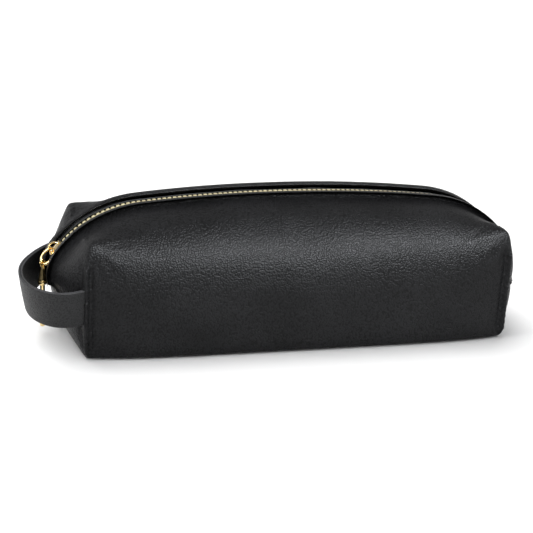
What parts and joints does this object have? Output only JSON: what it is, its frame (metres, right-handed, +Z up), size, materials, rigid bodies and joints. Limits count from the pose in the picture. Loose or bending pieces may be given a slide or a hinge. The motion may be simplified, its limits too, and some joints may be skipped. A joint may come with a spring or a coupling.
{
  "type": "makeup bag",
  "caption": "Soft box-shaped makeup bag with a metal-toothed zip over its rounded top, a hanging turned pull and a flat wrist loop at one end.",
  "frame": {"origin": "centre of the flat base", "axes": "+X along the bag away from the wrist loop, the front panel faces -Y, +Z up"},
  "size_m": [0.257, 0.0849, 0.0686],
  "materials": {
    "leather": "fine pebbled grain, semi-gloss black",
    "strap_leather": "smooth, more matte black",
    "lining": "plain woven, matt",
    "binding": "ribbed tape, matt",
    "zip_tape": "herringbone weave, matt",
    "teeth": "bright gold plate",
    "thread": "twisted thread",
    "slider_metal": "polished gold plate",
    "pull_metal": "polished gold plate"
  },
  "bodies": {
    "bag": {"front_panel": "leather", "back_panel": "leather", "front_lining": "lining", "back_lining": "lining", "corner_binding_front_left": "binding", "corner_binding_front_right": "binding", "corner_binding_back_left": "binding", "corner_binding_back_right": "binding", "end_binding_left": "binding", "end_binding_right": "binding", "base_seam_binding": "binding", "zip_tape_front": "zip_tape", "zip_tape_back": "zip_tape", "zip_teeth_front": "teeth", "zip_teeth_back": "teeth", "top_stop_front": "teeth", "top_stop_back": "teeth", "bottom_stop": "teeth", "topstitch_front": "thread", "topstitch_back": "thread", "strap_end_front": "strap_leather", "strap_end_back": "strap_leather"},
    "slider": {"slider_body": "slider_metal", "slider_bridge": "slider_metal"},
    "ring": {"pull_ring": "pull_metal"},
    "pull": {"pull_tab": "pull_metal"},
    "wrist_loop": {"strap_outer": "strap_leather", "strap_inner": "strap_leather"}
  },
  "joints": [
    {"name": "slider_travel", "type": "hinge", "parent": "bag", "child": "slider", "pos_m": [-0.06936, 0, 0.0095], "axis": [0, 1, 0], "range_deg": [0, 47.3]},
    {"name": "ring_swing", "type": "hinge", "parent": "slider", "child": "ring", "pos_m": [-0.11612, 0, 0.04323], "axis": [0, 1, 0], "range_deg": [0, 12]},
    {"name": "pull_swing", "type": "hinge", "parent": "ring", "child": "pull", "pos_m": [-0.12118, 0, 0.03627], "axis": [0, 1, 0], "range_deg": [0, 57.8]},
    {"name": "loop_lift", "type": "hinge", "parent": "bag", "child": "wrist_loop", "pos_m": [-0.109, 0, 0.0266], "axis": [0, 1, 0], "range_deg": [-20, 20]}
  ],
  "couplings": [
    {"joint": "pull_swing", "follows": "slider_travel", "ratio": 1.22}
  ]
}
